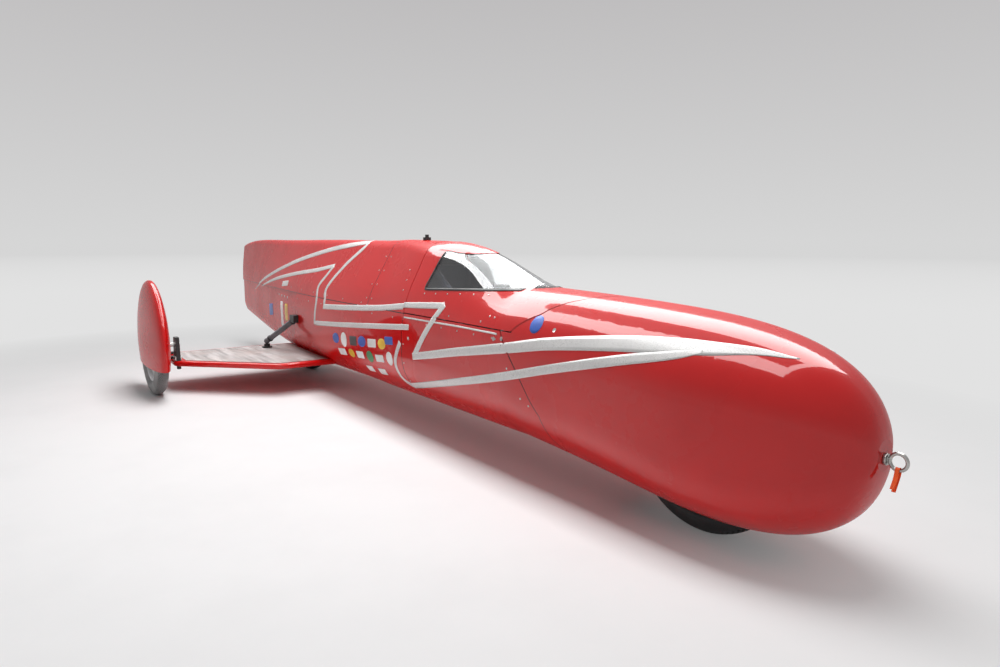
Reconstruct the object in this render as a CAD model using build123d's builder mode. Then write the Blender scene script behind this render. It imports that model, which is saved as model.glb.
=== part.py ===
import os
from math import atan2, cos, hypot, radians, sin, tan

from build123d import *

# Electric land speed racer: a three-wheeled streamlined sidecar motorcycle.
# Millimetres. +X is forward, +Y is the left side, +Z is up, the tyres stand on Z = 0.
# A station counts backwards from the flat at the nose tip, a side counts left of the centre plane.

# Driving sizes
body_length = 5690
half_width = 265
skin = 6
seam = 5
joint_gap = 0.8
seat_gap = 0.3
pin_gap = 0.3

wheel_radius = 300
rim_radius = 215
front_station = 560
wheelbase = 3610
rear_station = front_station + wheelbase
track = 1101
sidecar_station = 3874
arm_station = 3752
tyre_half = 58
sidecar_tyre_half = 40
well_length = 620
front_well_half = 96
rear_well_half = 86
axle_radius = 13

waist = 594
screen_base = 1380
canopy_rear = 2190
hoop_rear = 2620
notch_rear = 3796

head_reach = 400
plate = 12
rail_half = 45
rail_low = 156
rail_high = 190

platform_top = 200
platform_thick = 34
platform_tip = 1000
deck_thick = 2
pod_half_width = 64
pod_wall = 5

tow_height = 385
tow_bore = 17
tow_outer = 27
tow_half = 7
tow_neck = 6
tow_reach = 62

hinge_side = 263
hinge_height = 597
hinge_radius = 7
hinge_pin_radius = 3

steer_rake = 46
stem_radius = 18

# Overall box, and where the nose tip and the body's centre plane lie in it
overall_length = body_length + tow_reach
left_reach = hinge_side + hinge_radius
right_reach = track + pod_half_width
nose_x = overall_length / 2 - tow_reach
mid_y = (right_reach - left_reach) / 2

# Body sections: station, floor, roof, half width, keel half, bilge height, crown half, shoulder height
nose_rows = (
    (0, 352, 436, 38, 16, 376, 17, 415),
    (80, 185, 575, 132, 55, 267, 63, 488),
    (320, 85, 683, 229, 94, 209, 112, 549),
    (720, 86, 730, 262, 106, 235, 133, 584),
    (1120, 114, 746, 262, 98, 266, 136, 602),
    (screen_base, 126, 754, half_width, 91, 279, 134, 610),
)
mid_rows = (
    (screen_base, 126, 754, half_width, 91, 279, 134, 610),
    (1580, 124, 812, half_width, 90, 280, 112, 611),
    (1780, 124, 886, half_width, 90, 280, 94, 612),
    (2060, 124, 938, half_width, 90, 280, 92, 612),
    (2340, 124, 948, half_width, 90, 280, 78, 606),
    (hoop_rear, 124, 950, half_width, 90, 280, 58, 600),
)
tail_rows = (
    (hoop_rear, 124, 950, half_width, 90, 280, 58, 600),
    (3300, 124, 950, 258, 88, 280, 50, 598),
    (4000, 130, 950, 214, 76, 268, 46, 600),
    (4700, 180, 950, 148, 56, 290, 41, 606),
    (5300, 255, 946, 88, 36, 340, 34, 630),
    (body_length, 310, 905, 46, 20, 380, 20, 700),
)
corner_share = 0.46
nose_run = 700

# Sidecar pod sections: height, ahead of the axle, behind the axle, half width, front half, trailing half
pod_rows = (
    (185, 356, 376, 58, 33, 15),
    (320, 378, 404, pod_half_width, 36, 18),
    (470, 338, 376, 59, 32, 16),
    (596, 240, 294, 46, 24, 13),
    (670, 130, 182, 30, 15, 9),
    (700, 50, 80, 13, 8, 6),
)


def at(station, side=0.0, height=0.0):
    return (nose_x - station, mid_y + side, height)


def inset_outline(outline, inset):
    count = len(outline)
    sides = [hypot(outline[(i + 1) % count][0] - x, outline[(i + 1) % count][1] - y)
             for i, (x, y) in enumerate(outline)]
    points, radii = [], []
    for i, (x, y) in enumerate(outline):
        before, after = outline[i - 1], outline[(i + 1) % count]
        ux, uy = (x - before[0]) / sides[i - 1], (y - before[1]) / sides[i - 1]
        wx, wy = (after[0] - x) / sides[i], (after[1] - y) / sides[i]
        half_turn = atan2(ux * wy - uy * wx, ux * wx + uy * wy) / 2
        radius = corner_share * min(sides[i - 1], sides[i]) / tan(half_turn)
        nx, ny = -uy - wy, ux + wx
        reach = inset / (cos(half_turn) * hypot(nx, ny))
        points.append((x + nx * reach, y + ny * reach))
        radii.append(max(radius - inset, 0.5))
    return points, radii


def hull(rows, inset):
    with BuildPart(mode=Mode.PRIVATE) as body:
        for station, floor, roof, half, keel, bilge, crown, shoulder in rows:
            flank = [(keel, floor), (half, bilge), (half, shoulder), (crown, roof)]
            points, radii = inset_outline(flank + [(-y, z) for y, z in reversed(flank)], inset)
            back = max(inset, 0) * max(1 - station / nose_run, 0)
            with BuildSketch(Plane(at(station + back), x_dir=(0, 1, 0), z_dir=(1, 0, 0))):
                with BuildLine():
                    FilletPolyline(*points, radius=radii, close=True)
                make_face()
        loft()
    return body.part


def pod_hull(inset):
    with BuildPart(mode=Mode.PRIVATE) as body:
        for height, ahead, behind, half, front, rear in pod_rows:
            ahead, behind, half, front = ahead - inset, behind - 3 * inset, half - inset, front - inset / 2
            edge = [(-behind, -rear), (-behind * 0.55, -half), (ahead * 0.6, -half), (ahead, -front)]
            points, radii = inset_outline(edge + [(x, -y) for x, y in reversed(edge)], 0)
            drop = max(inset, 0) * max(height - 300, 0) / 400
            with BuildSketch(Plane(at(sidecar_station, -track, height - drop))):
                with BuildLine():
                    FilletPolyline(*points, radius=radii, close=True)
                make_face()
        loft()
    return body.part


def side_prism(outline, inner=-400.0, outer=400.0):
    with BuildPart(mode=Mode.PRIVATE) as prism:
        with BuildSketch(Plane((0, mid_y + outer, 0), x_dir=(1, 0, 0), z_dir=(0, -1, 0))):
            with BuildLine():
                Polyline(*[(nose_x - s, z) for s, z in outline], close=True)
            make_face()
        extrude(amount=outer - inner)
    return prism.part


def block(front, rear, inner, outer, low, high):
    return side_prism(((front, low), (front, high), (rear, high), (rear, low)), inner, outer)


def slab(front, rear, low=-10.0, high=1100.0):
    return block(front, rear, -400.0, 400.0, low, high)


def canopy_zone(grow, low):
    edge = [(1012, -70), (1056, -118), (1178, -204), (1338, -268), (1420, -330), (canopy_rear + 40, -330)]
    edge = [(nose_x - s, mid_y + y) for s, y in edge]
    outline = edge + [(x, 2 * mid_y - y) for x, y in reversed(edge)]
    with BuildPart(mode=Mode.PRIVATE) as zone:
        with BuildSketch(Plane((0, 0, low))):
            with BuildLine():
                FilletPolyline(*outline, radius=[30, 60, 90, 30, 10, 0, 0, 10, 30, 90, 60, 30], close=True)
            make_face()
            if grow:
                offset(amount=grow)
        extrude(amount=1100 - low)
    return zone.part


def across(station, side, height, radius, inner, outer):
    middle = side + (inner + outer) / 2
    with BuildPart(mode=Mode.PRIVATE) as bar:
        with Locations(Location(at(station, middle, height), (90, 0, 0))):
            Cylinder(radius, outer - inner)
    return bar.part


def rod(start, end, radius):
    first, last = Vector(*at(*start)), Vector(*at(*end))
    with BuildPart(mode=Mode.PRIVATE) as bar:
        with BuildSketch(Plane(first, z_dir=last - first)):
            Circle(radius)
        extrude(amount=(last - first).length)
    return bar.part


def wheel_axis(station, side):
    return Axis(at(station, side, wheel_radius), (0, 1, 0))


def tyre(station, side, half):
    tread, bead = 8, half - 16
    flank = [(rim_radius, bead), (rim_radius + 14, half - 8), (rim_radius + 30, half), (rim_radius + 52, half - 3),
             (wheel_radius - 12, half * 0.7), (wheel_radius - 3, half * 0.45), (wheel_radius, tread)]
    with BuildPart(mode=Mode.PRIVATE) as body:
        with BuildSketch(Plane(at(station, side, wheel_radius))):
            with BuildLine():
                Polyline(*flank, *[(r, -y) for r, y in reversed(flank)], close=True)
            make_face()
        revolve(axis=wheel_axis(station, side))
    return body.part


def rim(station, side, half):
    edge, lip, web, hub, hub_half = rim_radius - seat_gap, half - 14, 9, 44, half - 8
    flank = [(axle_radius + pin_gap, hub_half), (hub, hub_half), (hub + 6, web), (edge - 30, web),
             (edge - 16, lip), (edge, lip)]
    with BuildPart(mode=Mode.PRIVATE) as body:
        with BuildSketch(Plane(at(station, side, wheel_radius))):
            with BuildLine():
                Polyline(*flank, *[(r, -y) for r, y in reversed(flank)], close=True)
            make_face()
        revolve(axis=wheel_axis(station, side))
    return body.part


nose_outer, nose_inner, nose_lined = hull(nose_rows, 0), hull(nose_rows, skin), hull(nose_rows, skin + seat_gap)
mid_outer, mid_inner, mid_lined = hull(mid_rows, 0), hull(mid_rows, skin), hull(mid_rows, skin + seat_gap)
tail_outer, tail_inner, tail_lined = hull(tail_rows, 0), hull(tail_rows, skin), hull(tail_rows, skin + seat_gap)
mid_near, tail_near, tail_clear = hull(mid_rows, -seat_gap), hull(tail_rows, -seat_gap), hull(tail_rows, -8)
lap_inner, lap_lined = hull(tail_rows, 2 * skin + seat_gap), hull(tail_rows, 2 * (skin + seat_gap))
nose_skin, mid_skin, tail_skin = nose_outer - nose_inner, mid_outer - mid_inner, tail_outer - tail_inner

nose_seam = ((1376, waist + 6), (1126, 300), (1070, 0))

# Body panels
with BuildPart() as nose_shell:
    add(nose_skin)
    with BuildSketch(Plane(at(front_station))):
        RectangleRounded(well_length, 2 * front_well_half, 70)
    extrude(amount=330, mode=Mode.SUBTRACT)
    add(side_prism(((-20, 0), (-20, 1100), (1600, 1100), (1600, waist + 6)) + nose_seam), mode=Mode.INTERSECT)
    add(canopy_zone(0, waist), mode=Mode.SUBTRACT)
nose_shell.part.label = "nose_shell"

with BuildPart() as cockpit_tub:
    add(nose_skin)
    add(mid_skin)
    add(side_prism([(s + joint_gap, min(z, waist)) for s, z in nose_seam] + [(canopy_rear, 0), (canopy_rear, waist)]),
        mode=Mode.INTERSECT)
cockpit_tub.part.label = "cockpit_tub"

power_front = canopy_rear + joint_gap
with BuildPart() as power_tub:
    add(mid_skin)
    add(tail_skin)
    add(side_prism(((power_front, 0), (power_front, waist), (notch_rear, waist), (notch_rear, 453), (3216, 413),
                    (3590, 328), (3520, 250), (3440, 0))), mode=Mode.INTERSECT)
power_tub.part.label = "power_tub"

with BuildPart() as hoop_cover:
    add(mid_skin)
    add(slab(canopy_rear + seam, hoop_rear - joint_gap, waist + joint_gap), mode=Mode.INTERSECT)
hoop_cover.part.label = "hoop_cover"

with BuildPart() as tail_cover:
    add(tail_skin)
    add(slab(hoop_rear - 1, body_length + 10, waist + joint_gap), mode=Mode.INTERSECT)
tail_cover.part.label = "tail_cover"

with BuildPart() as tail_lower:
    add(tail_lined - lap_inner)
    add(slab(3190, body_length + 10, -10, waist + 12), mode=Mode.INTERSECT)
    with BuildSketch(Plane(at(rear_station))):
        RectangleRounded(well_length, 2 * rear_well_half, 60)
    extrude(amount=330, mode=Mode.SUBTRACT)
tail_lower.part.label = "tail_lower"

# Bulkheads and rails inside the skin
bulkhead_station = front_station + head_reach
with BuildPart() as nose_bulkhead:
    add(nose_lined)
    add(slab(bulkhead_station, bulkhead_station + plate), mode=Mode.INTERSECT)
nose_bulkhead.part.label = "nose_bulkhead"

with BuildPart() as firewall:
    add(mid_lined)
    add(slab(2200, 2200 + plate, rail_high), mode=Mode.INTERSECT)
firewall.part.label = "firewall"

with BuildPart() as rear_bulkhead:
    add(lap_lined)
    add(slab(arm_station - plate, arm_station), mode=Mode.INTERSECT)
rear_bulkhead.part.label = "rear_bulkhead"

with BuildPart() as tail_plate:
    add(lap_lined)
    add(slab(5640, 5650, 330, 880), mode=Mode.INTERSECT)
tail_plate.part.label = "tail_plate"
pieces = [nose_shell, cockpit_tub, power_tub, hoop_cover, tail_cover, tail_lower, nose_bulkhead, firewall,
          rear_bulkhead, tail_plate]

for name, side in (("floor_rail_left", 1), ("floor_rail_right", -1)):
    with BuildPart() as floor_rail:
        add(block(bulkhead_station + plate, arm_station - plate, side * rail_half - 18, side * rail_half + 18, rail_low, rail_high))
    floor_rail.part.label = name
    pieces.append(floor_rail)

# Cockpit
with BuildPart() as seat:
    add(side_prism(((1480, rail_high), (1480, 236), (1740, 216), (2060, 566), (2130, 566), (2130, 500),
                    (1830, rail_high)), -140, 140))
seat.part.label = "seat"

with BuildPart() as headrest:
    add(side_prism(((2200, 610), (2200, 806), (2160, 830), (2090, 822), (1985, 752), (1900, 690), (1900, 610)),
                   -135, 135))
    add(block(1880, 2140, -105, 105, 600, 900), mode=Mode.SUBTRACT)
headrest.part.label = "headrest"

with BuildPart() as dash:
    add(mid_lined)
    add(slab(1440, 1452, 460, 584), mode=Mode.INTERSECT)
dash.part.label = "dash"

with BuildPart() as control_yoke:
    add(rod((1452, 0, 520), (1530, 0, 520), 14))
    add(across(1530, 0, 520, 12, -150, 150))
control_yoke.part.label = "control_yoke"

with BuildPart() as battery_block:
    add(block(2300, 3140, -140, 140, rail_high, 560))
battery_block.part.label = "battery_block"

with BuildPart() as motor_block:
    add(block(3380, 3640, -125, 125, rail_high, 440))
motor_block.part.label = "motor_block"
pieces += [seat, headrest, dash, control_yoke, battery_block, motor_block]

# Canopy, its wrap-round screen and the hinge along the left sill
window = ((2046, 722), (1300, 757), (1300, 897), (2024, 897))
with BuildPart() as canopy_shell:
    add(nose_skin)
    add(mid_skin)
    add(canopy_zone(-seam, waist + seam), mode=Mode.INTERSECT)
    add(slab(900, canopy_rear), mode=Mode.INTERSECT)
    add(side_prism(window), mode=Mode.SUBTRACT)
canopy_shell.part.label = "canopy_shell"

with BuildPart() as windshield:
    add(nose_skin)
    add(mid_skin)
    add(side_prism(((2045.5, 722.5), (1300, 757.5), (1300, 896.5), (2023.5, 896.5))), mode=Mode.INTERSECT)
windshield.part.label = "windshield"

knuckles = ((1520, 1600, 0), (1600, 1680, 1), (1760, 1840, 0), (1840, 1920, 1), (1980, 2060, 0), (2060, 2140, 1))
with BuildPart() as hinge_tub:
    add(block(1520, 2140, 225, 258, 562, 588))
    for front, rear, on_canopy in knuckles:
        if not on_canopy:
            add(rod((front + 0.5, hinge_side, hinge_height), (rear - 0.5, hinge_side, hinge_height), hinge_radius))
            add(block(front + 0.5, rear - 0.5, 225, hinge_side, 575, hinge_height))
    add(mid_near, mode=Mode.SUBTRACT)
    add(rod((1500, hinge_side, hinge_height), (2160, hinge_side, hinge_height), hinge_pin_radius + 0.2),
        mode=Mode.SUBTRACT)
hinge_tub.part.label = "hinge_tub"

with BuildPart() as hinge_canopy:
    add(block(1520, 2140, 215, 256, 607, 634))
    for front, rear, on_canopy in knuckles:
        if on_canopy:
            add(rod((front + 0.5, hinge_side, hinge_height), (rear - 0.5, hinge_side, hinge_height), hinge_radius))
            add(block(front + 0.5, rear - 0.5, 225, hinge_side, hinge_height, 620))
    add(mid_near, mode=Mode.SUBTRACT)
    add(rod((1500, hinge_side, hinge_height), (2160, hinge_side, hinge_height), hinge_pin_radius + 0.2),
        mode=Mode.SUBTRACT)
hinge_canopy.part.label = "hinge_canopy"

with BuildPart() as hinge_pin:
    add(rod((1516, hinge_side, hinge_height), (2144, hinge_side, hinge_height), hinge_pin_radius))
hinge_pin.part.label = "hinge_pin"
pieces += [canopy_shell, windshield, hinge_tub, hinge_canopy, hinge_pin]

# Front wheel, fork and steering head on a raked axis through the axle
back, rise = cos(radians(steer_rake)), sin(radians(steer_rake))


def on_axis(distance, across_axis=0.0, side=0.0):
    return (front_station + back * distance - rise * across_axis, side,
            wheel_radius + rise * distance + back * across_axis)


def axis_block(start, end, low, high, inner, outer):
    corners = ((start, low), (start, high), (end, high), (end, low))
    return side_prism([(on_axis(d, a)[0], on_axis(d, a)[2]) for d, a in corners], inner, outer)


with BuildPart() as front_fork:
    for side in (-1, 1):
        inner, outer = sorted((side * 72, side * 92))
        add(axis_block(0, 385, -24, 24, inner, outer))
        add(across(front_station, 0, wheel_radius, 30, inner, outer))
    add(axis_block(340, 385, -34, 34, -92, 92))
    add(rod(on_axis(380), on_axis(500), stem_radius))
    add(across(front_station, 0, wheel_radius, axle_radius + 0.2, -120, 120), mode=Mode.SUBTRACT)
front_fork.part.label = "front_fork"

with BuildPart() as front_axle:
    add(across(front_station, 0, wheel_radius, axle_radius, -98, 98))
front_axle.part.label = "front_axle"

with BuildPart() as steering_head:
    add(rod(on_axis(392), on_axis(494), 34))
    add(block(bulkhead_station - 110, bulkhead_station, -46, 46, 570, 650))
    add(axis_block(300, 390.5, -200, 200, -100, 100), mode=Mode.SUBTRACT)
    add(rod(on_axis(300), on_axis(620), stem_radius + pin_gap), mode=Mode.SUBTRACT)
steering_head.part.label = "steering_head"

with BuildPart() as front_tyre:
    add(tyre(front_station, 0, tyre_half))
front_tyre.part.label = "front_tyre"

with BuildPart() as front_rim:
    add(rim(front_station, 0, tyre_half))
front_rim.part.label = "front_rim"
pieces += [front_fork, front_axle, steering_head, front_tyre, front_rim]

# Rear wheel between two arms
for name, side in (("rear_arm_left", 1), ("rear_arm_right", -1)):
    inner, outer = sorted((side * 72, side * 92))
    with BuildPart() as rear_arm:
        add(side_prism(((arm_station, 230), (arm_station, 380), (rear_station, wheel_radius + 34),
                        (rear_station, wheel_radius - 34)), inner, outer))
        add(across(rear_station, 0, wheel_radius, 34, inner, outer))
        add(across(rear_station, 0, wheel_radius, axle_radius + 0.2, -120, 120), mode=Mode.SUBTRACT)
    rear_arm.part.label = name
    pieces.append(rear_arm)

with BuildPart() as rear_axle:
    add(across(rear_station, 0, wheel_radius, axle_radius, -98, 98))
rear_axle.part.label = "rear_axle"

with BuildPart() as rear_tyre:
    add(tyre(rear_station, 0, tyre_half))
rear_tyre.part.label = "rear_tyre"

with BuildPart() as rear_rim:
    add(rim(rear_station, 0, tyre_half))
rear_rim.part.label = "rear_rim"
pieces += [rear_axle, rear_tyre, rear_rim]

# Sidecar platform, its strut, pod and wheel
plan = ((3330, -30), (3336, -500), (3836, -platform_tip), (4230, -platform_tip), (4200, -30))
with BuildPart() as platform:
    with BuildSketch(Plane((0, 0, platform_top - platform_thick))):
        with BuildLine():
            FilletPolyline(*[(nose_x - s, mid_y + y) for s, y in plan], radius=[5, 130, 60, 40, 5], close=True)
        make_face()
    extrude(amount=platform_thick)
    fillet(platform.edges().group_by(Axis.Z)[0] + platform.edges().group_by(Axis.Z)[-1], 14)
    add(tail_near, mode=Mode.SUBTRACT)
platform.part.label = "platform"

with BuildPart() as platform_deck:
    with BuildSketch(Plane((0, 0, platform_top))):
        with BuildLine():
            FilletPolyline(*[(nose_x - s, mid_y + y) for s, y in plan], radius=[5, 130, 60, 40, 5], close=True)
        make_face()
        offset(amount=-34)
    extrude(amount=deck_thick)
    add(tail_clear, mode=Mode.SUBTRACT)
    add(block(3800, 4190, -1010, -932, 190, 300), mode=Mode.SUBTRACT)
platform_deck.part.label = "platform_deck"

deck_top = platform_top + deck_thick
strut_foot_at = (4056, -352)
strut_ball, strut_radius = 20, 18
with BuildPart() as strut_foot:
    with Locations(at(*strut_foot_at, deck_top)):
        Cylinder(34, 8, align=(Align.CENTER, Align.CENTER, Align.MIN))
        Cylinder(20, 26, align=(Align.CENTER, Align.CENTER, Align.MIN))
strut_foot.part.label = "strut_foot"

strut_low = (*strut_foot_at, deck_top + 26 + strut_ball)
strut_high = (3790, -226, 425)
with BuildPart() as strut_head:
    add(block(3752, 3828, -262, -190, 398, 446))
    add(tail_inner, mode=Mode.SUBTRACT)
strut_head.part.label = "strut_head"

with BuildPart() as strut:
    add(rod(strut_low, strut_high, strut_radius))
    with Locations(at(*strut_low)):
        Sphere(strut_ball)
    add(block(3752 - seat_gap, 3828 + seat_gap, -262 - seat_gap, -100, 398 - seat_gap, 446 + seat_gap),
        mode=Mode.SUBTRACT)
    add(tail_inner, mode=Mode.SUBTRACT)
strut.part.label = "strut"

pod_outer, pod_inner, pod_near = pod_hull(0), pod_hull(pod_wall), pod_hull(-seat_gap)
with BuildPart() as pod:
    add(pod_outer - pod_inner)
    add(across(sidecar_station, -track, wheel_radius, 40, 20, 120), mode=Mode.SUBTRACT)
pod.part.label = "pod"

with BuildPart() as sidecar_upright:
    add(side_prism(((sidecar_station - 48, platform_top), (sidecar_station - 30, 345), (sidecar_station + 30, 345),
                    (sidecar_station + 48, platform_top)), -984, -960))
    add(across(sidecar_station, 0, wheel_radius, axle_radius + 0.2, -1100, -900), mode=Mode.SUBTRACT)
sidecar_upright.part.label = "sidecar_upright"

with BuildPart() as sidecar_axle:
    add(across(sidecar_station, 0, wheel_radius, axle_radius, -track - sidecar_tyre_half, -954))
sidecar_axle.part.label = "sidecar_axle"
pieces += [platform, platform_deck, strut_foot, strut_head, strut, pod, sidecar_upright, sidecar_axle]

for name, front, rear in (("pod_bracket_front", 3940, 3980), ("pod_bracket_rear", 4130, 4170)):
    with BuildPart() as pod_bracket:
        add(block(front, rear, -1060, -940, platform_top, deck_top + 12))
        add(block(front, rear, -1060, -platform_tip - 2, 192, deck_top + 12))
        add(pod_near, mode=Mode.SUBTRACT)
    pod_bracket.part.label = name
    pieces.append(pod_bracket)

with BuildPart() as sidecar_tyre:
    add(tyre(sidecar_station, -track, sidecar_tyre_half))
sidecar_tyre.part.label = "sidecar_tyre"

with BuildPart() as sidecar_rim:
    add(rim(sidecar_station, -track, sidecar_tyre_half))
sidecar_rim.part.label = "sidecar_rim"

# Tow eye on the nose tip and the aerial base on the roof
with BuildPart() as tow_eye:
    add(rod((0, 0, tow_height), (-8, 0, tow_height), 16))
    add(rod((-4, 0, tow_height), (-20, 0, tow_height), tow_neck))
    add(across(tow_outer - tow_reach, 0, tow_height, tow_outer, -tow_half, tow_half))
    add(across(tow_outer - tow_reach, 0, tow_height, tow_bore, -20, 20), mode=Mode.SUBTRACT)
tow_eye.part.label = "tow_eye"

with BuildPart() as aerial_base:
    with Locations(at(2390, 0, 930)):
        Cylinder(21, 34, align=(Align.CENTER, Align.CENTER, Align.MIN))
        Cylinder(10, 48, align=(Align.CENTER, Align.CENTER, Align.MIN))
    add(mid_near, mode=Mode.SUBTRACT)
aerial_base.part.label = "aerial_base"
pieces += [sidecar_tyre, sidecar_rim, tow_eye, aerial_base]

os.makedirs("parts", exist_ok=True)
for piece in pieces:
    label = piece.part.label
    size = piece.part.bounding_box()
    print(label, len(piece.part.solids()), piece.part.is_valid, round(piece.part.volume / 1000),
          [round(v) for v in (*size.min, *size.max)])
    export_step(piece.part, "parts/" + label + ".step")
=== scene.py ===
import math
import bpy
from mathutils import Matrix, Vector
from mathutils.bvhtree import BVHTree


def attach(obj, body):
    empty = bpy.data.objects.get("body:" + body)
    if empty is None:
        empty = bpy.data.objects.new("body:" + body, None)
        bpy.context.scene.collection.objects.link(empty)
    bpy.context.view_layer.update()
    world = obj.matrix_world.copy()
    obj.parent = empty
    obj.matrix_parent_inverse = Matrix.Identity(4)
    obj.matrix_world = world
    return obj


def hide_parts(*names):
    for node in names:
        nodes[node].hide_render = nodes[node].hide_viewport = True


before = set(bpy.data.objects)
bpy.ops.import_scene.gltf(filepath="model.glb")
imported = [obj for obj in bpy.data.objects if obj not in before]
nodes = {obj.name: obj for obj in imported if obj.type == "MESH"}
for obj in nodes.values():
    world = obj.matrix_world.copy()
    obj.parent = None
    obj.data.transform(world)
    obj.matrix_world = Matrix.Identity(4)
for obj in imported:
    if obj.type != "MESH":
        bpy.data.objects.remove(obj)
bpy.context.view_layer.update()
print("frame loaded:", len(nodes), "nodes")

place = {"noseX": 2.814, "midY": 0.4475}  # nose flat and the body's centre plane, metres
hands = ((-1, "Right"), (1, "Left"))


def at(station, side=0.0, height=0.0):  # millimetres back from the nose, left of centre, above the floor
    return Vector((place["noseX"] - station / 1000, place["midY"] + side / 1000, height / 1000))


def clearSelection():
    if bpy.context.object and bpy.context.object.mode != "OBJECT":
        bpy.ops.object.mode_set(mode="OBJECT")
    bpy.ops.object.select_all(action="DESELECT")


def makeActive(*objs):
    clearSelection()
    for obj in objs:
        obj.select_set(True)
    bpy.context.view_layer.objects.active = objs[0]


def openEdit(obj, faces=None):  # edit mode with all, or only the chosen faces, selected
    makeActive(obj)
    bpy.context.tool_settings.mesh_select_mode = (False, False, True)
    if faces is not None:
        for poly in obj.data.polygons:
            poly.select = faces(poly)
    bpy.ops.object.mode_set(mode="EDIT")
    if faces is None:
        bpy.ops.mesh.select_all(action="SELECT")


def closeEdit():
    bpy.ops.object.mode_set(mode="OBJECT")


def applyAll(obj):
    makeActive(obj)
    for modifier in list(obj.modifiers):
        bpy.ops.object.modifier_apply(modifier=modifier.name)


def settle(obj):  # place goes into the mesh
    makeActive(obj)
    bpy.ops.object.transform_apply(location=True, rotation=True, scale=True)


def smooth(obj, degrees=40):
    makeActive(obj)
    bpy.ops.object.shade_smooth_by_angle(angle=math.radians(degrees))


def softShade(obj):
    for poly in obj.data.polygons:
        poly.use_smooth = True


def weld(obj, distance):
    openEdit(obj)
    bpy.ops.mesh.remove_doubles(threshold=distance)
    closeEdit()


def evenNormals(obj):
    openEdit(obj)
    bpy.ops.mesh.normals_make_consistent(inside=False)
    closeEdit()


def faceAlong(obj, direction):  # turns a sheet over if most of it looks the other way
    if sum(poly.normal.dot(direction) * poly.area for poly in obj.data.polygons) < 0:
        openEdit(obj)
        bpy.ops.mesh.flip_normals()
        closeEdit()


def addWall(obj, depth, offset=-1.0):  # gives a sheet its thickness, inwards unless told
    wall = obj.modifiers.new("wall", "SOLIDIFY")
    wall.thickness, wall.offset = depth, offset
    applyAll(obj)


def roundEdges(obj, width, segments):
    edge = obj.modifiers.new("edge", "BEVEL")
    edge.width, edge.segments = width, segments
    applyAll(obj)


def newGrid(name, columns, cells):  # a flat grid with this many points along it, to be bent into shape
    clearSelection()
    bpy.ops.mesh.primitive_grid_add(x_subdivisions=columns - 1, y_subdivisions=cells, size=1)
    grid = bpy.context.object
    grid.name = grid.data.name = name
    return grid


def gridStep(value, count):  # which of the points a grid coordinate stands for
    return round((value + 0.5) * (count - 1))


def dress(obj, material, body):
    obj.data.materials.clear()
    obj.data.materials.append(material)
    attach(obj, body)


def joinAll(name, objs):
    makeActive(*objs)
    if len(objs) > 1:
        bpy.ops.object.join()
    objs[0].name = name
    objs[0].data.name = name
    return objs[0]


def curvePoint(a, b, c, d, t):  # between b and c, on a smooth curve through all four
    return 0.5 * (2 * b + (c - a) * t + (2 * a - 5 * b + 4 * c - d) * t * t
                  + (3 * b - a - 3 * c + d) * t * t * t)


def smoothPath(path, step):  # a soft curve through the points, cut into short steps
    points = [Vector(p) for p in path]
    ends = [points[0] * 2 - points[1]] + points + [points[-1] * 2 - points[-2]]
    line = []
    for four in zip(ends, ends[1:], ends[2:], ends[3:]):
        count = max(2, round((four[2] - four[1]).length / step))
        line += [curvePoint(*four, k / count) for k in range(count)]
    return line + [points[-1]]


def softRows(rows, steps):  # rows between the given ones, on a smooth curve
    ends = [rows[0], *rows, rows[-1]]
    soft = []
    for four in zip(ends, ends[1:], ends[2:], ends[3:]):
        soft += [[curvePoint(*values, k / steps) for values in zip(*four)] for k in range(steps)]
    return soft + [list(rows[-1])]


# node building

def newMaterial(name):
    material = bpy.data.materials.new(name)
    material.use_nodes = True
    tree = material.node_tree
    return material, tree, tree.nodes["Principled BSDF"]


def addNode(tree, kind, **settings):
    node = tree.nodes.new(kind)
    for key, value in settings.items():
        setattr(node, key, value)
    return node


def feed(tree, target, value):  # a link or a plain value
    if isinstance(value, bpy.types.NodeSocket):
        tree.links.new(value, target)
    else:
        target.default_value = value


def setShader(tree, shader, values):
    for key, value in values.items():
        feed(tree, shader.inputs[key], value)


def calc(tree, operation, first, second=None, third=None):
    node = addNode(tree, "ShaderNodeMath", operation=operation)
    for socket, value in zip(node.inputs, (first, second, third)):
        if value is not None:
            feed(tree, socket, value)
    return node.outputs[0]


def vectorCalc(tree, operation, first, second=None):
    node = addNode(tree, "ShaderNodeVectorMath", operation=operation)
    for socket, value in zip(node.inputs, (first, second)):
        if value is not None:
            feed(tree, socket, value)
    return node.outputs["Value" if operation in ("DOT_PRODUCT", "LENGTH") else "Vector"]


def blendColour(tree, factor, first, second):
    node = addNode(tree, "ShaderNodeMix", data_type="RGBA")
    feed(tree, node.inputs["Factor"], factor)
    feed(tree, node.inputs[6], first)
    feed(tree, node.inputs[7], second)
    return node.outputs[2]


def spread(tree, value, low, high, newLow, newHigh):
    node = addNode(tree, "ShaderNodeMapRange")
    for socket, given in zip(node.inputs, (value, low, high, newLow, newHigh)):
        feed(tree, socket, given)
    return node.outputs[0]


def newGroup(name, inputs, outputs):  # inputs with their usual values, all of them numbers
    group = bpy.data.node_groups.new(name, "ShaderNodeTree")
    for label, value in inputs.items():
        socket = group.interface.new_socket(name=label, in_out="INPUT", socket_type="NodeSocketFloat")
        socket.default_value = value
    for label in outputs:
        group.interface.new_socket(name=label, in_out="OUTPUT", socket_type="NodeSocketFloat")
    return group, group.nodes.new("NodeGroupInput"), group.nodes.new("NodeGroupOutput")


def useGroup(tree, group, values):
    node = addNode(tree, "ShaderNodeGroup", node_tree=group)
    for key, value in values.items():
        feed(tree, node.inputs[key], value)
    return node


def objectPoint(tree):
    return addNode(tree, "ShaderNodeTexCoord").outputs["Object"]


def splitPoint(tree, point):
    node = addNode(tree, "ShaderNodeSeparateXYZ")
    feed(tree, node.inputs[0], point)
    return node.outputs


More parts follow.
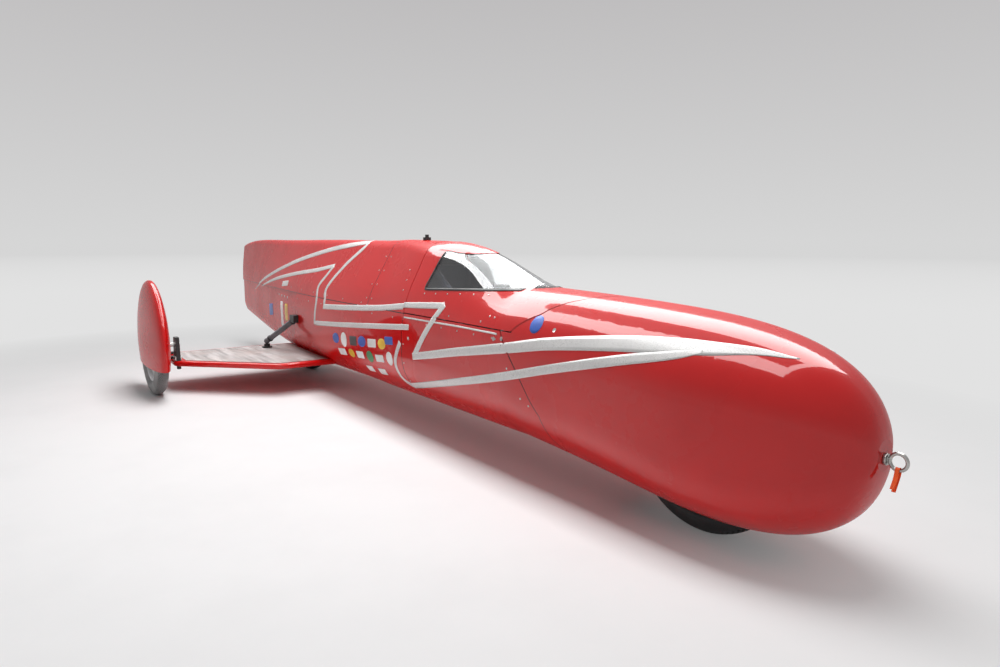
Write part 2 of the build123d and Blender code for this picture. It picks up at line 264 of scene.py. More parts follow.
def joinPoint(tree, x, y, z):
    node = addNode(tree, "ShaderNodeCombineXYZ")
    for socket, value in zip(node.inputs, (x, y, z)):
        feed(tree, socket, value)
    return node.outputs[0]


def noise(tree, vector, scale, detail, roughness):
    node = addNode(tree, "ShaderNodeTexNoise")
    for key, value in (("Vector", vector), ("Scale", scale), ("Detail", detail), ("Roughness", roughness)):
        feed(tree, node.inputs[key], value)
    return node.outputs["Fac"]


def bump(tree, height, strength, distance):
    node = addNode(tree, "ShaderNodeBump")
    for key, value in (("Height", height), ("Strength", strength), ("Distance", distance)):
        feed(tree, node.inputs[key], value)
    return node.outputs["Normal"]


# shared effects
grimeShape = {"usual": {"Scale": 4.0, "Speckle": 180.0}, "broad": (5.0, 0.6), "fine": (3.0, 0.6), "span": (0.42, 0.72)}
brushShape = {"usual": {"Stretch": 40.0, "Scale": 60.0}, "marks": (4.0, 0.65)}
seamLines = {"width": 0.0022, "rear": 2190, "hoop": 2620, "waist": 0.5945,
             "nose": ((1376, 600), (1126, 300), (1070, 0))}
noiseSpan = (0.3, 0.7)  # the part of a noise that shows


def makeGrime():  # broad dust and fine speckle
    group, source, sink = newGroup("grime", grimeShape["usual"], ("Dust", "Fine"))
    point = objectPoint(group)
    broad = noise(group, point, source.outputs["Scale"], *grimeShape["broad"])
    fine = noise(group, point, source.outputs["Speckle"], *grimeShape["fine"])
    feed(group, sink.inputs["Dust"], spread(group, broad, *grimeShape["span"], 0.0, 1.0))
    feed(group, sink.inputs["Fine"], fine)
    return group


def makeBrush():  # long fine scratches along X
    group, source, sink = newGroup("brushMarks", brushShape["usual"], ("Marks",))
    x, y, z = splitPoint(group, objectPoint(group))
    squeezed = joinPoint(group, calc(group, "DIVIDE", x, source.outputs["Stretch"]), y, z)
    feed(group, sink.inputs["Marks"], noise(group, squeezed, source.outputs["Scale"], *brushShape["marks"]))
    return group


def makeSeams():  # dark lines where fixed panels meet
    group, source, sink = newGroup("panelSeams", {"Width": seamLines["width"]}, ("Line",))
    x, _, z = splitPoint(group, objectPoint(group))
    waist, rear, hoop = seamLines["waist"], at(seamLines["rear"]).x, at(seamLines["hoop"]).x

    def line(value, level):
        away = calc(group, "ABSOLUTE", calc(group, "SUBTRACT", value, level))
        return calc(group, "LESS_THAN", away, source.outputs["Width"])

    above = calc(group, "GREATER_THAN", z, waist)
    parts = [calc(group, "MULTIPLY", line(x, rear), calc(group, "SUBTRACT", 1.0, above)),
             calc(group, "MULTIPLY", line(x, hoop), above),
             calc(group, "MULTIPLY", line(z, waist), calc(group, "LESS_THAN", x, rear))]
    corners = seamLines["nose"]
    for (s1, z1), (s2, z2) in zip(corners, corners[1:]):
        length = math.hypot(s2 - s1, z2 - z1)
        nx, nz = (z2 - z1) / length, (s2 - s1) / length  # unit normal; X runs against the stations
        along = calc(group, "MULTIPLY_ADD", x, nx, -at(s1).x * nx - z1 / 1000 * nz)
        away = calc(group, "MULTIPLY_ADD", z, nz, along)
        inside = calc(group, "MULTIPLY", calc(group, "GREATER_THAN", z, z2 / 1000),
                      calc(group, "LESS_THAN", z, z1 / 1000))
        parts.append(calc(group, "MULTIPLY", line(away, 0.0), inside))
    total = parts[0]
    for part in parts[1:]:
        total = calc(group, "MAXIMUM", total, part)
    feed(group, sink.inputs["Line"], total)
    return group


grime = makeGrime()
brushMarks = makeBrush()
panelSeams = makeSeams()
print("shared effects ready")

paint = {"red": (0.60, 0.005, 0.005, 1), "deep": (0.53, 0.004, 0.004, 1), "seam": (0.012, 0.006, 0.006, 1),
         "dust": {"Scale": 2.2, "Speckle": 420.0}, "rough": (0.24, 0.34), "bump": (0.012, 0.0003),
         "inside": (0.018, 0.018, 0.019, 1), "insideRough": 0.7, "insideDepth": -0.01,
         "axisHeight": 0.52, "tipHeight": 0.39, "tipLength": 600,
         "coat": 0.95, "edgeCoat": 0.1, "edgeSpan": (0.5, 0.85),
         "gloss": {"Coat Roughness": 0.03, "Coat IOR": 1.48, "Specular IOR Level": 0.06}}


def insideMask(tree):  # faces that look at the body's middle line, which drops towards the nose tip
    point = objectPoint(tree)
    height = spread(tree, splitPoint(tree, point)[0], at(paint["tipLength"]).x, at(0).x,
                    paint["axisHeight"], paint["tipHeight"])
    axis = joinPoint(tree, 0.0, place["midY"], height)
    across = vectorCalc(tree, "MULTIPLY", vectorCalc(tree, "SUBTRACT", point, axis), (0.0, 1.0, 1.0))
    normal = addNode(tree, "ShaderNodeNewGeometry").outputs["True Normal"]
    return calc(tree, "LESS_THAN", vectorCalc(tree, "DOT_PRODUCT", across, normal), paint["insideDepth"])


def makeRed(name, shell):  # a shell also has seams, and bare composite inside
    material, tree, shader = newMaterial(name)
    dirt = useGroup(tree, grime, paint["dust"])
    colour = blendColour(tree, dirt.outputs["Dust"], paint["red"], paint["deep"])
    rough = spread(tree, dirt.outputs["Dust"], 0.0, 1.0, *paint["rough"])
    turned = addNode(tree, "ShaderNodeLayerWeight").outputs["Facing"]  # less gloss where seen edge-on
    coat = spread(tree, turned, *paint["edgeSpan"], paint["coat"], paint["edgeCoat"])
    if shell:
        seams = useGroup(tree, panelSeams, {"Width": seamLines["width"]})
        colour = blendColour(tree, seams.outputs["Line"], colour, paint["seam"])
        inside = insideMask(tree)
        colour = blendColour(tree, inside, colour, paint["inside"])
        rough = calc(tree, "MAXIMUM", rough, calc(tree, "MULTIPLY", inside, paint["insideRough"]))
        coat = calc(tree, "MULTIPLY", coat, calc(tree, "SUBTRACT", 1.0, inside))
    setShader(tree, shader, {"Base Color": colour, "Roughness": rough, "Coat Weight": coat, **paint["gloss"],
                             "Normal": bump(tree, dirt.outputs["Fine"], *paint["bump"])})
    return material


metalLook = {"marks": 90.0, "dust": {"Scale": 9.0, "Speckle": 300.0}, "shade": 0.6, "rough": (0.75, 1.3),
             "bump": (0.12, 0.0004)}


def makeMetal(name, colour, roughness, metallic, stretch=40.0):
    material, tree, shader = newMaterial(name)
    marks = useGroup(tree, brushMarks, {"Stretch": stretch, "Scale": metalLook["marks"]}).outputs["Marks"]
    dust = useGroup(tree, grime, metalLook["dust"]).outputs["Dust"]
    dark = tuple(c * metalLook["shade"] for c in colour) + (1,)
    rough = [roughness * share for share in metalLook["rough"]]
    setShader(tree, shader, {"Base Color": blendColour(tree, dust, colour + (1,), dark), "Metallic": metallic,
                             "Roughness": spread(tree, marks, *noiseSpan, *rough),
                             "Normal": bump(tree, marks, *metalLook["bump"])})
    return material


plasticLook = {"dust": 6.0, "pale": 1.7, "haze": 0.006, "rough": (0.8, 1.15), "bump": 0.0006}


def makePlastic(name, colour, roughness, grain=700.0, depth=0.15):
    material, tree, shader = newMaterial(name)
    dirt = useGroup(tree, grime, {"Scale": plasticLook["dust"], "Speckle": grain})
    pale = tuple(min(c * plasticLook["pale"] + plasticLook["haze"], 1) for c in colour) + (1,)
    rough = [roughness * share for share in plasticLook["rough"]]
    setShader(tree, shader, {"Base Color": blendColour(tree, dirt.outputs["Dust"], colour + (1,), pale),
                             "Roughness": spread(tree, dirt.outputs["Fine"], *noiseSpan, *rough),
                             "Normal": bump(tree, dirt.outputs["Fine"], depth, plasticLook["bump"])})
    return material


rubberLook = {"dust": {"Scale": 14.0, "Speckle": 500.0}, "rough": (0.5, 0.75), "bump": (0.3, 0.0008)}


def makeRubber(name, fresh, dusty):
    material, tree, shader = newMaterial(name)
    dirt = useGroup(tree, grime, rubberLook["dust"])
    setShader(tree, shader, {"Base Color": blendColour(tree, dirt.outputs["Dust"], fresh, dusty),
                             "Roughness": spread(tree, dirt.outputs["Fine"], *noiseSpan, *rubberLook["rough"]),
                             "Normal": bump(tree, dirt.outputs["Fine"], *rubberLook["bump"])})
    return material


deckLook = {"streaks": {"Stretch": 14.0, "Scale": 34.0}, "streakSpan": (0.35, 0.65),
            "dust": {"Scale": 5.0, "Speckle": 150.0}, "dark": (0.22, 0.205, 0.20, 1),
            "pale": (0.46, 0.44, 0.435, 1), "worn": (0.32, 0.27, 0.255, 1), "rough": (0.35, 0.6),
            "bump": (0.25, 0.001), "metallic": 0.45}


def makeDeck():  # bare sheet with streaks and scuffs
    material, tree, shader = newMaterial("deckSheet")
    streaks = useGroup(tree, brushMarks, deckLook["streaks"]).outputs["Marks"]
    dirt = useGroup(tree, grime, deckLook["dust"])
    sheet = blendColour(tree, spread(tree, streaks, *deckLook["streakSpan"], 0.0, 1.0),
                        deckLook["dark"], deckLook["pale"])
    setShader(tree, shader, {"Base Color": blendColour(tree, dirt.outputs["Dust"], sheet, deckLook["worn"]),
                             "Roughness": spread(tree, streaks, *noiseSpan, *deckLook["rough"]),
                             "Normal": bump(tree, dirt.outputs["Fine"], *deckLook["bump"]),
                             "Metallic": deckLook["metallic"]})
    return material


tapeLook = {"face": (0.78, 0.77, 0.76), "cell": 260.0, "edge": (0.02, 0.12), "shade": 0.62,
            "dust": {"Scale": 8.0, "Speckle": 300.0}, "dustShare": 0.25, "rough": (0.5, 0.28),
            "bump": (0.2, 0.0004), "gloss": {"Coat Weight": 0.4, "Coat Roughness": 0.08}}


def makeTape():  # reflective tape of fine cells
    material, tree, shader = newMaterial("silverTape")
    cells = addNode(tree, "ShaderNodeTexVoronoi", feature="DISTANCE_TO_EDGE")
    feed(tree, cells.inputs["Vector"], objectPoint(tree))
    feed(tree, cells.inputs["Scale"], tapeLook["cell"])
    edge = spread(tree, cells.outputs["Distance"], *tapeLook["edge"], 0.0, 1.0)
    shade = tuple(c * tapeLook["shade"] for c in tapeLook["face"]) + (1,)
    dust = useGroup(tree, grime, tapeLook["dust"]).outputs["Dust"]
    face = blendColour(tree, edge, shade, tapeLook["face"] + (1,))
    worn = blendColour(tree, calc(tree, "MULTIPLY", dust, tapeLook["dustShare"]), face, shade)
    setShader(tree, shader, {"Base Color": worn, "Roughness": spread(tree, edge, 0.0, 1.0, *tapeLook["rough"]),
                             "Normal": bump(tree, edge, *tapeLook["bump"]), **tapeLook["gloss"]})
    return material


glassLook = {"dust": {"Scale": 7.0, "Speckle": 200.0}, "rough": (0.01, 0.05),
             "clear": {"Base Color": (0.93, 0.95, 0.96, 1), "Transmission Weight": 1.0, "IOR": 1.49}}


def makeGlass():
    material, tree, shader = newMaterial("screenGlass")
    dust = useGroup(tree, grime, glassLook["dust"]).outputs["Dust"]
    setShader(tree, shader, {"Roughness": spread(tree, dust, 0.0, 1.0, *glassLook["rough"]), **glassLook["clear"]})
    return material


fabricLook = {"weave": 420.0, "dust": {"Scale": 12.0, "Speckle": 600.0}, "pale": 1.8, "haze": 0.004,
              "rough": (0.7, 0.95), "bump": (0.25, 0.0006),
              "sheen": {"Sheen Weight": 0.25, "Sheen Roughness": 0.5}}


def makeFabric(name, colour):
    material, tree, shader = newMaterial(name)
    weave = addNode(tree, "ShaderNodeTexChecker")
    feed(tree, weave.inputs["Vector"], objectPoint(tree))
    feed(tree, weave.inputs["Scale"], fabricLook["weave"])
    threads = weave.outputs["Fac"]
    fine = useGroup(tree, grime, fabricLook["dust"]).outputs["Fine"]
    pale = tuple(c * fabricLook["pale"] + fabricLook["haze"] for c in colour) + (1,)
    setShader(tree, shader, {"Base Color": blendColour(tree, threads, colour + (1,), pale),
                             "Roughness": spread(tree, fine, *noiseSpan, *fabricLook["rough"]),
                             "Normal": bump(tree, threads, *fabricLook["bump"]), **fabricLook["sheen"]})
    return material


finishes = {
    "shellRed": makeRed("shellRed", True),
    "podRed": makeRed("podRed", False),
    "steel": makeMetal("brushedSteel", (0.58, 0.57, 0.55), 0.28, 1.0),
    "alloy": makeMetal("satinAlloy", (0.55, 0.55, 0.56), 0.38, 1.0, 8.0),
    "blackMetal": makeMetal("blackMetal", (0.02, 0.02, 0.021), 0.42, 0.2),
    "strutGrey": makeMetal("strutGrey", (0.15, 0.155, 0.17), 0.4, 0.3, 6.0),
    "composite": makePlastic("darkComposite", (0.025, 0.025, 0.027), 0.55),
    "blackPlastic": makePlastic("blackPlastic", (0.012, 0.012, 0.013), 0.4),
    "battery": makePlastic("batteryCase", (0.04, 0.042, 0.048), 0.5),
    "rubber": makeRubber("tyreRubber", (0.012, 0.012, 0.013, 1), (0.035, 0.034, 0.033, 1)),
    "dustyRubber": makeRubber("dustyRubber", (0.20, 0.195, 0.195, 1), (0.34, 0.33, 0.33, 1)),
    "deck": makeDeck(),
    "tape": makeTape(),
    "glass": makeGlass(),
    "padCloth": makeFabric("padCloth", (0.016, 0.019, 0.03)),
}
nodeFinish = {
    "shellRed": "nose_shell cockpit_tub power_tub hoop_cover tail_cover tail_lower canopy_shell",
    "podRed": "pod platform",
    "steel": "hinge_tub hinge_canopy hinge_pin front_axle rear_axle sidecar_axle tow_eye",
    "alloy": "front_rim rear_rim sidecar_rim floor_rail_left floor_rail_right motor_block",
    "blackMetal": "front_fork steering_head rear_arm_left rear_arm_right control_yoke strut_foot strut_head "
                  "pod_bracket_front pod_bracket_rear sidecar_upright",
    "strutGrey": "strut",
    "composite": "nose_bulkhead firewall rear_bulkhead tail_plate dash",
    "battery": "battery_block",
    "blackPlastic": "aerial_base",
    "rubber": "front_tyre rear_tyre sidecar_tyre",
    "deck": "platform_deck",
    "glass": "windshield",
    "padCloth": "seat headrest",
}
for finish, names in nodeFinish.items():
    for name in names.split():
        nodes[name].data.materials.clear()
        nodes[name].data.materials.append(finishes[finish])
print("materials on", sum(len(names.split()) for names in nodeFinish.values()), "nodes")

# the skin that tapes and fasteners lie on, found by rays from well outside it
skin = {"nodes": ("nose_shell", "cockpit_tub", "power_tub", "hoop_cover", "tail_cover", "tail_lower", "canopy_shell",
                  "windshield"),
        "canopy": ("canopy_shell", "windshield"), "outside": 700, "over": 1200,
        "tries": (0, 7, -7, 14)}  # small steps past a panel gap


def makeSkinTree():
    points, faces, owners = [], [], []
    for name in skin["nodes"]:
        start, mesh = len(points), nodes[name].data
        points += [v.co.copy() for v in mesh.vertices]
        faces += [[start + i for i in poly.vertices] for poly in mesh.polygons]
        owners += [name] * len(mesh.polygons)
    return BVHTree.FromPolygons(points, faces), owners


skinTree, skinOwners = makeSkinTree()


def onFlank(station, height, hand):  # point, normal and node on the right (-1) or left (1) flank
    for shift in skin["tries"]:
        start = at(station + shift, hand * skin["outside"], height + shift / 2)
        hit, normal, face, _ = skinTree.ray_cast(start, Vector((0, -hand, 0)))
        if hit is not None and (hit.y - place["midY"]) * hand > 0:
            break
    if hit is None:
        return None
    return hit, normal if normal.y * hand >= 0 else -normal, skinOwners[face]


def onTop(station, side):
    hit, normal, _, _ = skinTree.ray_cast(at(station, side, skin["over"]), Vector((0, 0, -1)))
    return hit, normal if normal.z > 0 else -normal


# livery tapes, and one pale strip along the canopy sill that is a painted highlight: station and height along the
# middle of each tape, with its width there
tapes = {
    "lift": 0.0007, "layer": 0.00004, "thick": 0.0006, "step": 9.0, "across": 4,
    "lines": {
        "tailUpper": ((5157, 540, 4), (4930, 612, 16), (4705, 669, 24), (4293, 756, 28), (3966, 818, 30),
                      (3512, 886, 30), (3200, 920, 30), (2985, 938, 22)),
        "tailFall": ((2990, 936, 30), (3005, 903, 32), (3080, 848, 32), (3148, 791, 32), (3253, 661, 32),
                     (3236, 600, 32), (3222, 560, 32)),
        "tailRun": ((3236, 548, 30), (2900, 568, 30), (2500, 597, 30), (2207, 628, 30)),
        "lowerCurve": ((4909, 579, 4), (4640, 628, 18), (4387, 668, 24), (3962, 718, 26), (3565, 756, 26),
                       (3300, 792, 24)),
        "lowerFall": ((3306, 791, 28), (3350, 730, 30), (3405, 662, 30), (3385, 600, 30), (3372, 559, 30),
                      (3380, 440, 30)),
        "lowerRun": ((3396, 432, 28), (3000, 462, 28), (2600, 494, 28), (2178, 529, 28), (2120, 534, 26)),
        "zedTop": ((2207, 634, 26), (2020, 646, 28), (1850, 657, 28)),
        "zedSlope": ((1838, 664, 32), (1950, 534, 34), (2066, 398, 34)),
        "noseUpper": ((2078, 398, 34), (1880, 434, 36), (1684, 471, 38), (1310, 536, 42), (1071, 579, 46),
                      (756, 617, 50), (549, 632, 48), (417, 638, 36), (300, 641, 18), (200, 630, 2)),
        # painted highlight: this pale silver strip stands in for the light glint along the canopy sill edge
        "sillHighlight": ((2180, 577, 7), (1980, 578, 7), (1780, 580, 7), (1600, 581, 7), (1440, 581, 7), (1390, 580, 7)),
        "noseLower": ((2205, 452, 28), (2246, 390, 28), (2270, 330, 28), (2255, 262, 28), (2200, 234, 28),
                      (2124, 243, 30), (1695, 337, 32), (1342, 418, 34), (1057, 490, 34), (734, 566, 34),
                      (533, 607, 26), (440, 628, 10)),
    },
}


def layTape(name, path, hand, lift, cells):  # a strip on the flank, and the node under each of its points
    line = smoothPath(path, tapes["step"])
    last = len(line) - 1
    tape = newGrid(name, len(line), cells)
    owners = {}
    for vertex in tape.data.vertices:
        i, share = gridStep(vertex.co.x, len(line)), vertex.co.y
        before, spot, after = line[max(i - 1, 0)], line[i], line[min(i + 1, last)]
        along = Vector((after.x - before.x, after.y - before.y)).normalized()
        hit, normal, owners[vertex.index] = onFlank(spot.x - along.y * share * spot.z,
                                                    spot.y + along.x * share * spot.z, hand)
        vertex.co = hit + normal * lift
    return tape, owners


def splitTape(tape, owners, onCanopy):  # keeps the part of a tape that lies on the canopy, or off it
    def drop(poly):
        held = sum(owners[i] in skin["canopy"] for i in poly.vertices) >= 2
        return held != onCanopy

    left = sum(not drop(poly) for poly in tape.data.polygons)
    if left and left < len(tape.data.polygons):
        openEdit(tape, drop)
        bpy.ops.mesh.delete(type="FACE")
        closeEdit()
    return left


def layTapes():
    made = {"canopy": [], "chassis": []}
    for order, (name, path) in enumerate(tapes["lines"].items()):
        lift = tapes["lift"] + order * tapes["layer"]
        for hand, mark in hands:
            for body, parts in made.items():
                tape, owners = layTape(name + mark, path, hand, lift, tapes["across"])
                if splitTape(tape, owners, body == "canopy"):
                    evenNormals(tape)
                    faceAlong(tape, Vector((0, hand, 0)))
                    parts.append(tape)
                else:
                    bpy.data.objects.remove(tape)
    for body, parts in made.items():
        if parts:
            whole = joinAll("tapes_" + body, parts)
            softShade(whole)
            addWall(whole, tapes["thick"])
            dress(whole, finishes["tape"], body)
            print("tapes on", body, len(whole.data.polygons), "faces")


layTapes()

# tyres with a dimpled tread, spun from one side profile
tyreShape = {"radius": 0.2998, "rimRadius": 0.215, "axleHeight": 300, "around": 168, "treadDepth": 0.0135,
             "dimpleEdge": 0.0012, "dimpleDepth": -0.0032, "sharp": 32}


def tyreProfile(half):  # radius and offset from the tread's middle to one bead, then back up the other side
    r, rim = tyreShape["radius"], tyreShape["rimRadius"]
    side = [(r, 0.0), (r, 0.008), (r - 0.001, half * 0.3), (r - 0.003, half * 0.45), (r - 0.007, half * 0.58),
            (r - 0.012, half * 0.7), (r - 0.02, half * 0.85), (r - 0.032, half - 0.003), (r - 0.043, half - 0.0005),
            (rim + 0.03, half), (rim + 0.021, half - 0.003), (rim + 0.014, half - 0.008), (rim + 0.006, half - 0.013),
            (rim + 0.0005, half - 0.017)]
    return side + [(rim + 0.0005, 0.0)] + [(radius, -offset) for radius, offset in reversed(side[1:])]


def makeTyre(name, node, body, station, side, half, surface):
    profile = tyreProfile(half)
    count = len(profile)
    clearSelection()
    bpy.ops.mesh.primitive_torus_add(major_segments=tyreShape["around"], minor_segments=count,
                                     major_radius=1.0, minor_radius=0.3)
    tyre = bpy.context.object
    tyre.name = name
    middle = at(station, side, tyreShape["axleHeight"])
    for vertex in tyre.data.vertices:
        x, y, z = vertex.co
        turn = math.atan2(y, x)
        lap = math.atan2(z, math.hypot(x, y) - 1.0) / (2 * math.pi) % 1.0
        radius, offset = profile[round(lap * count) % count]
        vertex.co = middle + Vector((radius * math.cos(turn), offset, radius * math.sin(turn)))
    evenNormals(tyre)
    limit = tyreShape["radius"] - tyreShape["treadDepth"]

    def onTread(poly):  # every second cell of the tread
        away = poly.center - middle
        return math.hypot(away.x, away.z) > limit and (poly.index // count + poly.index % count) % 2 == 0

    openEdit(tyre, onTread)
    bpy.ops.mesh.inset(thickness=tyreShape["dimpleEdge"], depth=0.0, use_individual=True)
    bpy.ops.transform.shrink_fatten(value=tyreShape["dimpleDepth"])
    closeEdit()
    dimples = [poly.index for poly in tyre.data.polygons if poly.select]
    smooth(tyre, tyreShape["sharp"])
    dress(tyre, finishes[surface], body)
    tyre.data.materials.append(finishes["rubber"])
    for index in dimples:
        tyre.data.polygons[index].material_index = 1
    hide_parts(node)


wheels = (  # name, node, body, station, side, half width, surface
    ("frontTyre", "front_tyre", "front_wheel", 560, 0, 0.058, "rubber"),
    ("rearTyre", "rear_tyre", "rear_wheel", 4170, 0, 0.058, "rubber"),
    ("sidecarTyre", "sidecar_tyre", "sidecar_wheel", 3874, -1101, 0.040, "dustyRubber"),
)
for wheel in wheels:
    makeTyre(*wheel)
print("tyres made")

# padded seat and head pad, softened from the room their solids hold
pads = {"weld": 0.00005, "voxel": 0.011, "relax": 0.5, "rounds": 14}


def makePad(name, node):
    pad = nodes[node].copy()
    pad.data = nodes[node].data.copy()
    bpy.context.scene.collection.objects.link(pad)
    for key in list(pad.keys()):
        del pad[key]
    pad.parent = None
    pad.name = name
    weld(pad, pads["weld"])
    remesh = pad.modifiers.new("even", "REMESH")
    remesh.mode, remesh.voxel_size = "VOXEL", pads["voxel"]
    relax = pad.modifiers.new("relax", "SMOOTH")
    relax.factor, relax.iterations = pads["relax"], pads["rounds"]
    finer = pad.modifiers.new("finer", "SUBSURF")
    finer.levels = finer.render_levels = 1
    applyAll(pad)
    softShade(pad)
    dress(pad, finishes["padCloth"], "chassis")
    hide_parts(node)


makePad("headPad", "headrest")
makePad("seatPad", "seat")
print("pads made")

# round-headed rivets and flush quarter-turn fasteners, in rows from one station and height to another
fasteners = {
    "rivet": (12, 0.0042, 0.0016, 0.45, 0.4), "screw": (12, 0.0085, 0.0014, 0.2, -0.35),
    "bolt": (6, 0.007, 0.006, 0.16, 0.15),  # sides, radius, height, shares of inset and rise
    "sharp": 50,
    "canopyRivets": ((2040, 700, 1560, 722, 6), (1780, 617, 1525, 617, 2), (1475, 642, 1440, 640, 2)),
    "bodyRivets": ((1957, 562, 1420, 562, 5), (2172, 540, 2172, 260, 4), (1352, 540, 1180, 330, 3),
                   (1396, 560, 1226, 350, 3), (3770, 560, 2300, 566, 7)),
    "coverRivets": ((2650, 640, 2650, 860, 4), (2590, 640, 2590, 860, 4), (2700, 612, 5500, 640, 12),
                    (2260, 703, 2280, 800, 3)),
    "bodyScrews": ((2120, 480, 2120, 480, 1), (1407, 560, 1347, 563, 2), (4300, 552, 4050, 548, 4),
                   (1068, 628, 1068, 628, 1)),
}


def makeHead(sides, radius, height, insetShare, riseShare):  # a short post with a raised or sunk top
    clearSelection()
    bpy.ops.mesh.primitive_cylinder_add(vertices=sides, radius=radius, depth=height)
    head = bpy.context.object
    openEdit(head, lambda poly: poly.center.z > height * 0.45)
    bpy.ops.mesh.inset(thickness=radius * insetShare)
    bpy.ops.transform.translate(value=(0, 0, height * riseShare))
    closeEdit()
    return head


def placeCopies(source, spots, name):
    copies = []
    for spot, normal in spots:
        turn = normal.to_track_quat("Z", "Y").to_matrix().to_4x4()
        copy = source.copy()
        copy.data = source.data.copy()
        copy.data.transform(Matrix.Translation(spot) @ turn)
        bpy.context.scene.collection.objects.link(copy)
        copies.append(copy)
    return joinAll(name, copies)


def rowSpots(rows):
    spots = []
    for s1, z1, s2, z2, count in rows:
        for k in range(count):
            t = k / max(count - 1, 1)
            for hand, _ in hands:
                found = onFlank(s1 + (s2 - s1) * t, z1 + (z2 - z1) * t, hand)
                if found:
                    spots.append(found[:2])
    return spots


def makeFasteners():
    rivet, screw = makeHead(*fasteners["rivet"]), makeHead(*fasteners["screw"])
    for head in (rivet, screw):
        smooth(head, fasteners["sharp"])
    for name, source, body in (("canopyRivets", rivet, "canopy"), ("bodyRivets", rivet, "chassis"),
                               ("coverRivets", rivet, "chassis"), ("bodyScrews", screw, "chassis")):
        dress(placeCopies(source, rowSpots(fasteners[name]), name), finishes["steel"], body)
    for head in (rivet, screw):
        bpy.data.objects.remove(head)
    print("fasteners placed")


makeFasteners()

# tow eye: a round bar bent into a ring, on a short neck and a foot (radius, back and front station)
towRing = {"station": -35, "height": 385, "major": 0.022, "minor": 0.005, "neck": (0.006, -4, -11),
           "foot": (0.016, 0, -8), "edge": (0.0015, 3)}


def makeTowRing():
    clearSelection()
    bpy.ops.mesh.primitive_torus_add(major_segments=64, minor_segments=16, major_radius=towRing["major"],
                                     minor_radius=towRing["minor"], rotation=(math.pi / 2, 0, 0),
                                     location=at(towRing["station"], 0, towRing["height"]))
    parts = [bpy.context.object]
    settle(parts[0])
    for radius, back, ahead in (towRing["neck"], towRing["foot"]):
        clearSelection()
        bpy.ops.mesh.primitive_cylinder_add(vertices=40, radius=radius, depth=(back - ahead) / 1000,
                                            rotation=(0, math.pi / 2, 0),
                                            location=at((back + ahead) / 2, 0, towRing["height"]))
        bar = bpy.context.object
        settle(bar)
        roundEdges(bar, *towRing["edge"])
        parts.append(bar)
    ring = joinAll("towRing", parts)
    smooth(ring)
    dress(ring, finishes["steel"], "chassis")
    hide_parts("tow_eye")


makeTowRing()

# webbing tag looped over the foot of the tow ring: side and height along it
tag = {"station": -35, "width": 0.011, "thick": 0.0009, "step": 2.5, "cells": 4, "cupAbove": 366, "cup": 1.2,
       "colour": (0.78, 0.085, 0.008),
       "path": ((-27.0, 318), (-19.0, 330), (-12.4, 343), (-8.2, 355), (-6.4, 363), (-3.4, 368.4), (0.0, 369.6),
                (3.4, 368.4), (6.4, 363), (6.2, 355), (2.5, 345), (-5.0, 331), (-13.0, 318), (-18.0, 309))}


def makeTag():
    line = smoothPath([(y, z, 0.0) for y, z in tag["path"]], tag["step"])
    ribbon = newGrid("towTag", len(line), tag["cells"])
    for vertex in ribbon.data.vertices:
        spot, across = line[gridStep(vertex.co.x, len(line))], vertex.co.y
        lift = tag["cup"] * (across * 2) ** 2 if spot.y > tag["cupAbove"] else 0.0  # cups into the ring
        vertex.co = at(tag["station"], spot.x, spot.y + lift) + Vector((across * tag["width"], 0, 0))
    softShade(ribbon)
    addWall(ribbon, tag["thick"])
    dress(ribbon, makeFabric("orangeWebbing", tag["colour"]), "chassis")


makeTag()

# blank colour patches in the marking zone, and a plain disc by the canopy
patches = {
    "lift": 0.0009, "thick": 0.0004, "steps": 16, "cells": 6, "roundEnd": 0.002, "slope": 1 / 24,
    "squareFrom": 0.97, "squareEnd": 0.86, "film": (0.35, 300.0, 0.05),
    "colours": {"white": (0.75, 0.75, 0.74), "blue": (0.02, 0.09, 0.42), "yellow": (0.72, 0.42, 0.03),
                "dark": (0.03, 0.03, 0.035), "green": (0.03, 0.22, 0.08)},
    "rows": (  # station, height, length, tall, rounded, colour
        (3020, 380, 96, 60, True, "blue"), (2900, 384, 84, 84, True, "white"), (2770, 392, 90, 52, False, "dark"),
        (2655, 402, 96, 60, True, "blue"), (2530, 408, 100, 44, False, "white"), (2410, 418, 90, 56, True, "yellow"),
        (2960, 306, 110, 40, False, "white"), (2820, 316, 80, 50, True, "yellow"), (2700, 322, 96, 40, False, "white"),
        (2570, 330, 84, 62, True, "green"), (2450, 336, 96, 38, False, "white"), (2330, 352, 70, 70, True, "white"),
        (2330, 444, 90, 40, False, "blue"), (2640, 250, 90, 34, False, "white"), (2480, 258, 96, 34, False, "white"),
        (1173, 638, 64, 64, True, "blue"), (4150, 640, 150, 36, False, "white"), (4560, 420, 120, 90, False, "blue"),
        (4200, 400, 70, 220, False, "white"), (4070, 440, 80, 120, False, "yellow"),
    ),
}


def patchPath(station, height, length, tall, rounded):
    path = []
    for k in range(patches["steps"] + 1):
        t = -1 + 2 * k / patches["steps"]
        if rounded:
            share = math.sqrt(max(1 - t * t, patches["roundEnd"]))
        else:
            share = 1.0 if abs(t) < patches["squareFrom"] else patches["squareEnd"]
        path.append((station - t * length / 2, height + t * length * patches["slope"], tall * share))
    return path


def makePatches():
    groups = {}
    for *shape, colour in patches["rows"]:
        for hand, mark in hands:
            patch, _ = layTape("patch" + mark, patchPath(*shape), hand, patches["lift"], patches["cells"])
            faceAlong(patch, Vector((0, hand, 0)))
            groups.setdefault(colour, []).append(patch)
    for colour, parts in groups.items():
        whole = joinAll("patches_" + colour, parts)
        softShade(whole)
        addWall(whole, patches["thick"])
        film = makePlastic(colour + "Film", patches["colours"][colour], *patches["film"])
        dress(whole, film, "chassis")
    print("patches laid:", 2 * len(patches["rows"]))


makePatches()

